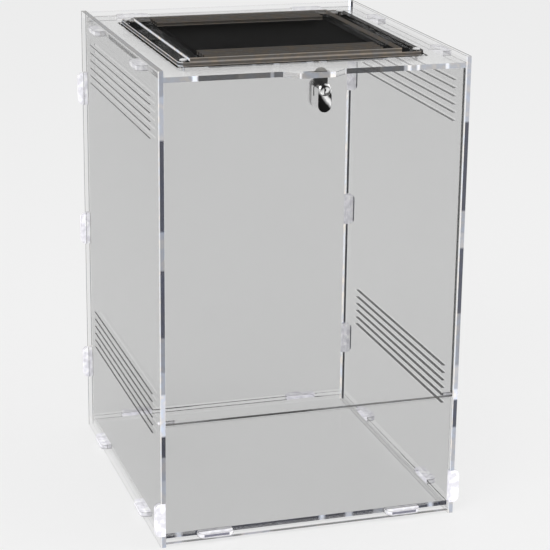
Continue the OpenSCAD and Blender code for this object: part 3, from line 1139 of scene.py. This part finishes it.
@dataclass
class FrontDoor:
    """The door sheet and the pins that it turns on.

    Attributes:
        middle_y: The place of the sheet's mid-plane along the depth.
        middle_z: The middle of its height.
        pin_x: How far from the middle of the width the pins' outer ends begin.
    """

    middle_y: float = -0.15515
    middle_z: float = 0.29
    pin_x: float = 0.12

    def build(self) -> None:
        """Dresses the door and its pins."""
        height = ("Z", 0.1, 0.46)
        # Painted light on the door's edges: dark reflections along the lower and right edges, a
        # highlight along the left.
        sheet = SheetFinish(
            "acrylic_door", "Y", self.middle_y, dark=0.1, line=0.0005, tint=0.112,
            middle_z=self.middle_z, streaks=(
                Streak(Side.DOWN, (("X", -FAR, FAR),), 0.11, 0.85, 0.07),
                Streak(Side.DOWN, (("X", -0.115, 0.02),), 0.004, 0.96, 0.004, 0.03),
                Streak(Side.RIGHT, (height,), 0.008, 0.95, soft=0.002),
                Streak(Side.LEFT, (height,), 0.7, 0.25, 0.75), butted(Side.UP, 0.3)))
        # Painted glints: the pins' outer ends are bright and glow.
        pins = SheetFinish("acrylic_pin", "X", 0.0, 1.0, tab_x=self.pin_x, tab_level=0.95,
                           tab_cover=0.5, tab_glow=0.4)
        paint("door_panel", sheet.build())
        paint("hinge_pins", pins.build())


@dataclass
class CamLock:
    """The chrome cam lock that holds the door under the top sheet.

    Attributes:
        lobe: The middle of the body's painted reflection bands, along X and Z.
        key: The middle of the cylinder's painted reflection bands.
    """

    lobe: tuple[float, float] = (0.0, 0.4342)
    key: tuple[float, float] = (0.0, 0.441)

    def build(self) -> None:
        """Dresses every piece of the lock."""
        # Painted reflections: black and white bands across the fronts of the body and the
        # cylinder.
        lobe_reflection_bands = greys((0.0, 0.12), (0.10, 0.03), (0.16, 0.008), (0.42, 0.012), (0.47, 0.4),
                           (0.52, 0.98), (0.58, 0.9), (0.62, 0.05), (0.70, 0.02), (0.76, 0.9),
                           (0.9, 0.98), (1.0, 0.9))
        key_reflection_bands = greys((0.0, 0.02), (0.40, 0.015), (0.48, 0.85), (0.53, 0.9), (0.58, 0.04),
                          (0.66, 0.5), (0.72, 0.03), (1.0, 0.3))
        body = ChromeFinish("lock_chrome", grey(0.92), 0.1, turn=38.0, bands=lobe_reflection_bands,
                            centre=self.lobe)
        cylinder = ChromeFinish("lock_dark", grey(0.3), 0.16, turn=-60.0, warp=0.2,
                                bands=key_reflection_bands, centre=self.key)
        paint("lock_body", body.build())
        paint("lock_cylinder", cylinder.build())
        paint("lock_cam", CamFinish("cam_black", grey(0.012), 0.35, 0.0).build())
        for node in ("lock_screws", "lock_backing_plate", "lock_clip"):
            paint(node, MetalFinish(f"steel_{node}", grey(0.85), 0.28, 0.35).build())


@dataclass
class Studio:
    """Floor, backdrop, lamps and the camera.

    Attributes:
        ground: The floor's height.
        ground_size: The floor's width and depth.
        camera_place: Where the camera stands.
        yaw: How far it is turned to the right of straight ahead, in degrees.
        pitch: How far it looks down.
        roll: How far it leans.
        lens: Its focal length in millimetres, over a sensor of that width.
        sensor: The sensor's width in millimetres.
        lamp_size: The width and height of the lamps.
        lamps: The name, place and power of each.
    """

    ground: float = 0.0
    ground_size: float = 40.0
    camera_place: Point = (-0.55214, -1.78475, 0.79782)
    yaw: float = 17.5
    pitch: float = 17.36
    roll: float = 0.68
    lens: float = 125.64
    sensor: float = 36.0
    lamp_size: float = 1.6
    lamps: tuple[tuple[str, Point, float], ...] = (
        ("key", (-1.6, -1.6, 2.2), 30.0), ("fill", (2.0, -0.8, 1.4), 16.0))

    def camera(self) -> Any:
        """Makes the camera at the photograph's angle.

        Returns:
            The camera object.
        """
        yaw, pitch, roll = (math.radians(value) for value in (self.yaw, self.pitch, self.roll))
        ahead = Vector((math.sin(yaw) * math.cos(pitch), math.cos(yaw) * math.cos(pitch),
                        -math.sin(pitch)))
        right = Vector((math.cos(yaw), -math.sin(yaw), 0.0))
        up = right.cross(ahead)
        side = right * math.cos(roll) + up * math.sin(roll)
        top = up * math.cos(roll) - right * math.sin(roll)
        data = bpy.data.cameras.new("camera")
        data.lens = self.lens
        data.sensor_width = self.sensor
        data.sensor_fit = "HORIZONTAL"
        data.clip_start = 0.05
        data.clip_end = 50.0
        camera = bpy.data.objects.new("camera", data)
        turn = Matrix((side, top, -ahead)).transposed().to_4x4()
        camera.matrix_world = Matrix.Translation(self.camera_place) @ turn
        bpy.context.collection.objects.link(camera)
        bpy.context.scene.camera = camera
        return camera

    def floor(self) -> Any:
        """Makes the pale floor.

        Returns:
            The floor object.
        """
        bpy.ops.object.select_all(action="DESELECT")
        bpy.ops.mesh.primitive_plane_add(size=self.ground_size, location=(0.0, 0.0, self.ground))
        floor = bpy.context.object
        floor.name = "floor"
        material = bpy.data.materials.new("floor")
        tree = Tree(material)
        path = tree.node("ShaderNodeLightPath")
        seen = path.maximum(tree.other(path, "Is Glossy Ray"))
        seen = seen.maximum(tree.other(path, "Is Transmission Ray"))
        matte = principled(tree, Base_Color=grey(0.86), Roughness=0.9)
        glow = tree.node("ShaderNodeEmission", None, grey(0.915), 1.0)
        mixed = tree.node("ShaderNodeMixShader", None, 0.75 * seen, matte, glow)
        tree.surface(mixed)
        floor.data.materials.append(material)
        return floor

    def world(self) -> None:
        """Gives the world a plain pale light."""
        world = bpy.data.worlds.new("world")
        bpy.context.scene.world = world
        tree = Tree(world)
        back = tree.node("ShaderNodeBackground", None, grey(0.9), 0.75)
        tree.node("ShaderNodeOutputWorld", None, back)

    def lamp(self, name: str, place: Point, power: float) -> Any:
        """Adds a soft lamp that faces the object's middle.

        Args:
            name: The lamp's name.
            place: Its place, in metres.
            power: Its power, in watts.

        Returns:
            The lamp object.
        """
        data = bpy.data.lights.new(name, "AREA")
        data.shape = "RECTANGLE"
        data.size = data.size_y = self.lamp_size
        data.energy = power
        lamp = bpy.data.objects.new(name, data)
        lamp.location = place
        towards = Vector((0.0, 0.0, MIDDLE_Z)) - Vector(place)
        lamp.rotation_euler = towards.to_track_quat("-Z", "Y").to_euler()
        bpy.context.collection.objects.link(lamp)
        return lamp

    def build(self) -> None:
        """Sets the whole studio."""
        self.camera()
        self.floor()
        self.world()
        for name, place, power in self.lamps:
            self.lamp(name, place, power)


def main() -> None:
    """Builds and dresses the whole terrarium, then its studio."""
    bpy.context.scene.view_settings.view_transform = "Standard"
    for assembly in (BoxShell(), TopVent(), FrontDoor(), CamLock(), Studio()):
        LOG.info("building %s", type(assembly).__name__)
        assembly.build()


if __name__ == "__main__":
    main()
